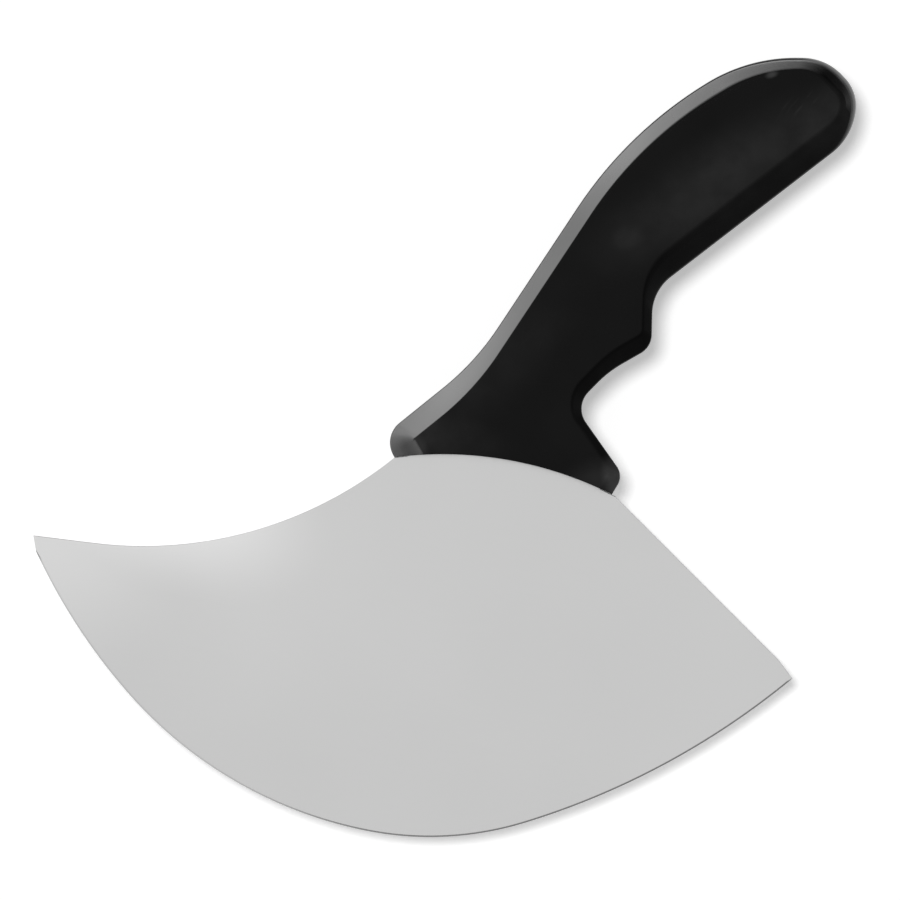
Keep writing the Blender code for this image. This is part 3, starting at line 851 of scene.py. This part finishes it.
def mouldedPlastic(name, finish):
    material, nodes, links, shader = newMaterial(name)
    place = nodes.new("ShaderNodeTexCoord").outputs["Object"]
    grain = noiseNode(nodes, links, place, finish["grainScale"], detail=1.0)
    cloud = noiseNode(nodes, links, place, plastic["cloudScale"], detail=2.0)
    tone = rangeNode(nodes, links, cloud, *texture["fullSpan"], *plastic["cloudTone"], True)
    mottle = noiseNode(nodes, links, place, plastic["mottleScale"], detail=4.0)
    mottle = rangeNode(nodes, links, mottle, *texture["fullSpan"], *plastic["mottleTone"], True)
    scratches = noiseNode(nodes, links, place, plastic["scratchScale"], plastic["scratchStretch"], 2.0,
                          finish["scuffs"][1])
    scratches = rangeNode(nodes, links, scratches, *plastic["scratchShare"], 0.0, 1.0, True)
    grey = mathNode(nodes, links, "MULTIPLY", softPatch(nodes, links, place, *finish["scuffs"]), scratches)
    # wear and painted sheen: mottled paler patches on the face, with painted highlights at the horn and the
    # butt
    for patch in finish["wearAndSheen"]:
        wearAndSheen = mathNode(nodes, links, "MULTIPLY", softPatch(nodes, links, place, *patch), mottle)
        grey = mathNode(nodes, links, "ADD", grey, wearAndSheen)
    # gloss and painted sheen: the back chamfer, facing the light, and the butt's rim are painted paler and
    # made glossier
    glossAndSheenMask = nodes.new("ShaderNodeAttribute")
    glossAndSheenMask.attribute_name = "glossAndSheen"
    glossAndSheenMask = glossAndSheenMask.outputs["Fac"]
    paintedPaleSheen = mathNode(nodes, links, "MULTIPLY", glossAndSheenMask, finish["paintedSheenGrey"])
    grey = mathNode(nodes, links, "ADD", grey, paintedPaleSheen)
    colour = nodes.new("ShaderNodeVectorMath")
    colour.operation = "ADD"
    links.new(scaledColour(nodes, links, finish["colour"], tone), colour.inputs[0])
    links.new(scaledColour(nodes, links, (1.0, 1.0, 1.0), grey), colour.inputs[1])
    # painted shade: the crease at the foot of the belly's chamfer, away from the light, is darkened
    creaseShade = nodes.new("ShaderNodeAttribute")
    creaseShade.attribute_name = "creaseShade"
    depth = rangeNode(nodes, links, creaseShade.outputs["Fac"], 0.0, 1.0, 1.0, finish["creaseShadeTone"])
    creaseShaded = nodes.new("ShaderNodeVectorMath")
    creaseShaded.operation = "SCALE"
    links.new(colour.outputs["Vector"], creaseShaded.inputs[0])
    links.new(depth, creaseShaded.inputs["Scale"])
    links.new(creaseShaded.outputs["Vector"], shader.inputs["Base Color"])
    rough = rangeNode(nodes, links, cloud, *texture["fullSpan"], *around(finish), True)
    links.new(rough, shader.inputs["Roughness"])
    gloss = finish["glossAndSheen"]
    for patch in finish["polished"]:
        gloss = mathNode(nodes, links, "ADD", softPatch(nodes, links, place, *patch), gloss)
    gloss = mathNode(nodes, links, "MULTIPLY", glossAndSheenMask, gloss)
    gloss = mathNode(nodes, links, "ADD", gloss, finish["specular"])
    links.new(gloss, shader.inputs["Specular IOR Level"])
    shader.inputs["IOR"].default_value = finish["refraction"]
    links.new(bumpNode(nodes, links, grain, finish["grainDepth"]), shader.inputs["Normal"])
    return material


def dress(piece, material):
    piece.data.materials.clear()
    piece.data.materials.append(material)


dress(bladePiece, satinSteel())
dress(gripPiece, mouldedPlastic("blackGrip", gripFinish))
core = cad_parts["handle_core"]
coreMaterial = mouldedPlastic("hardCore", coreFinish)
if not core.material_slots:
    core.data.materials.append(coreMaterial)
for slot in core.material_slots:
    slot.material = coreMaterial
print("stage 5: steel and plastic have their finishes")


# White table, plain light, and a surround that only shows as reflections
studio = {
    "floorColour": (0.80, 0.80, 0.80),
    "floorGlow": 0.438,            # share of the white that doesn't come from the lamps
    "floorSize": 24.0,
    "floorGap": 0.00005,
    "worldDiffuse": 0.13,
    "sunStrength": 2.0,
    "sunAzimuth": 142.5,
    "sunElevation": 78.0,
    "sunAngle": 15.5,
}
surround = {
    "radius": 20.0,
    "overhead": 0.80,              # broad patch straight above, which the blade shows
    "overheadReach": 20.0,         # degrees from the zenith
    "ringStart": 26.0,
    "ringEnd": 42.0,
    "lowStart": 54.0,
    "tiltStep": 3,
    "azimuthStep": 4,
    # azimuth in degrees from the X axis, and brightness there
    "ring": ((-45, 0.2), (40, 0.3), (62, 0.8), (256, 0.8), (266, 0.23), (303, 0.22)),
    "low": ((-60, 0.3), (-25, 0.3), (10, 0.6), (45, 0.1), (82, 0.11), (102, 0.20), (121, 0.39), (131, 0.55),
            (140, 0.80), (150, 0.69), (158, 0.55), (166, 0.66), (177, 0.62), (188, 0.38), (205, 0.31),
            (225, 0.21), (258, 0.25), (285, 0.3)),
}

lowest = cadBox[0].z


def litBy(nodes, links, *names):
    path = nodes.new("ShaderNodeLightPath")
    value = path.outputs[names[0]]
    for name in names[1:]:
        value = mathNode(nodes, links, "MAXIMUM", value, path.outputs[name])
    return value


def makeFloor():
    shape = bmesh.new()
    bmesh.ops.create_grid(shape, x_segments=1, y_segments=1, size=studio["floorSize"])
    mesh = bpy.data.meshes.new("floor")
    shape.to_mesh(mesh)
    shape.free()
    floor = bpy.data.objects.new("floor", mesh)
    floor.location.z = lowest - studio["floorGap"]
    bpy.context.scene.collection.objects.link(floor)
    material = bpy.data.materials.new("whiteTable")
    material.use_nodes = True
    nodes, links = material.node_tree.nodes, material.node_tree.links
    nodes.clear()
    output = nodes.new("ShaderNodeOutputMaterial")
    paint = nodes.new("ShaderNodeBsdfDiffuse")
    paint.inputs["Color"].default_value = (*studio["floorColour"], 1.0)
    glow = nodes.new("ShaderNodeEmission")
    seen = litBy(nodes, links, "Is Camera Ray", "Is Glossy Ray", "Is Transmission Ray")
    links.new(mathNode(nodes, links, "MULTIPLY", seen, studio["floorGlow"]), glow.inputs["Strength"])
    both = nodes.new("ShaderNodeAddShader")
    links.new(paint.outputs[0], both.inputs[0])
    links.new(glow.outputs[0], both.inputs[1])
    links.new(both.outputs[0], output.inputs["Surface"])
    mesh.materials.append(material)


def makeWorld():
    world = bpy.data.worlds.new("studio")
    bpy.context.scene.world = world
    world.use_nodes = True
    nodes, links = world.node_tree.nodes, world.node_tree.links
    background = nodes["Background"]
    background.inputs["Color"].default_value = (1.0, 1.0, 1.0, 1.0)
    seen = litBy(nodes, links, "Is Camera Ray", "Is Glossy Ray", "Is Transmission Ray")
    strength = rangeNode(nodes, links, seen, 0.0, 1.0, studio["worldDiffuse"], 1.0)
    links.new(strength, background.inputs["Strength"])


def aroundAt(stops, azimuth):
    # smooth reading of a list of brightnesses round the horizon
    for (a, low), (b, high) in zip(stops, stops[1:] + ((stops[0][0] + 360, stops[0][1]),)):
        share = ((azimuth - a) % 360) / ((b - a) % 360)
        if share <= 1.0:
            return low + (high - low) * eased(share)
    return stops[0][1]


def surroundGlow(azimuth, offZenith):
    levels = ((surround["overheadReach"], surround["overhead"]),
              (surround["ringStart"], aroundAt(surround["ring"], azimuth)),
              (surround["ringEnd"], aroundAt(surround["ring"], azimuth)),
              (surround["lowStart"], aroundAt(surround["low"], azimuth)))
    if offZenith <= levels[0][0]:
        return levels[0][1]
    for (a, low), (b, high) in zip(levels, levels[1:]):
        if offZenith <= b:
            share = (offZenith - a) / (b - a)
            return low + (high - low) * eased(share)
    return levels[-1][1]


def makeSurround():
    # a far dome, seen by glossy rays only; every point of it has its own brightness
    shape = bmesh.new()
    glow = shape.verts.layers.float.new("glow")
    top = shape.verts.new((0.0, 0.0, surround["radius"]))
    top[glow] = surround["overhead"]
    rings = []
    for offZenith in range(surround["tiltStep"], 91, surround["tiltStep"]):
        ring = []
        for azimuth in range(0, 360, surround["azimuthStep"]):
            a, t = math.radians(azimuth), math.radians(offZenith)
            vertex = shape.verts.new((surround["radius"] * math.sin(t) * math.cos(a),
                                      surround["radius"] * math.sin(t) * math.sin(a),
                                      surround["radius"] * math.cos(t)))
            vertex[glow] = surroundGlow(azimuth, offZenith)
            ring.append(vertex)
        rings.append(ring)
    for i in range(len(rings[0])):
        shape.faces.new((top, rings[0][i - 1], rings[0][i]))
        for high, low in zip(rings, rings[1:]):
            shape.faces.new((high[i - 1], low[i - 1], low[i], high[i]))
    mesh = bpy.data.meshes.new("surround")
    shape.to_mesh(mesh)
    shape.free()
    dome = bpy.data.objects.new("surround", mesh)
    dome.location.z = lowest
    bpy.context.scene.collection.objects.link(dome)

    material = bpy.data.materials.new("surround")
    material.use_nodes = True
    material.cycles.emission_sampling = "NONE"
    nodes, links = material.node_tree.nodes, material.node_tree.links
    nodes.clear()
    brightness = nodes.new("ShaderNodeAttribute")
    brightness.attribute_name = "glow"
    emission = nodes.new("ShaderNodeEmission")
    output = nodes.new("ShaderNodeOutputMaterial")
    links.new(brightness.outputs["Fac"], emission.inputs["Strength"])
    links.new(emission.outputs[0], output.inputs["Surface"])
    mesh.materials.append(material)
    dome.visible_camera = False
    dome.visible_diffuse = False
    dome.visible_shadow = False
    dome.visible_transmission = False


def makeSun():
    data = bpy.data.lights.new("key", "SUN")
    data.energy = studio["sunStrength"]
    data.angle = math.radians(studio["sunAngle"])
    sun = bpy.data.objects.new("key", data)
    azimuth, elevation = math.radians(studio["sunAzimuth"]), math.radians(studio["sunElevation"])
    towards = Vector((math.cos(azimuth) * math.cos(elevation), math.sin(azimuth) * math.cos(elevation),
                      math.sin(elevation)))
    sun.rotation_euler = towards.to_track_quat("Z", "Y").to_euler()
    sun.location = towards
    sun.visible_glossy = False
    bpy.context.scene.collection.objects.link(sun)


makeFloor()
makeWorld()
makeSurround()
makeSun()
bpy.context.scene.view_settings.view_transform = "Standard"
print("stage 6: the table is lit")

bpy.context.view_layer.update()
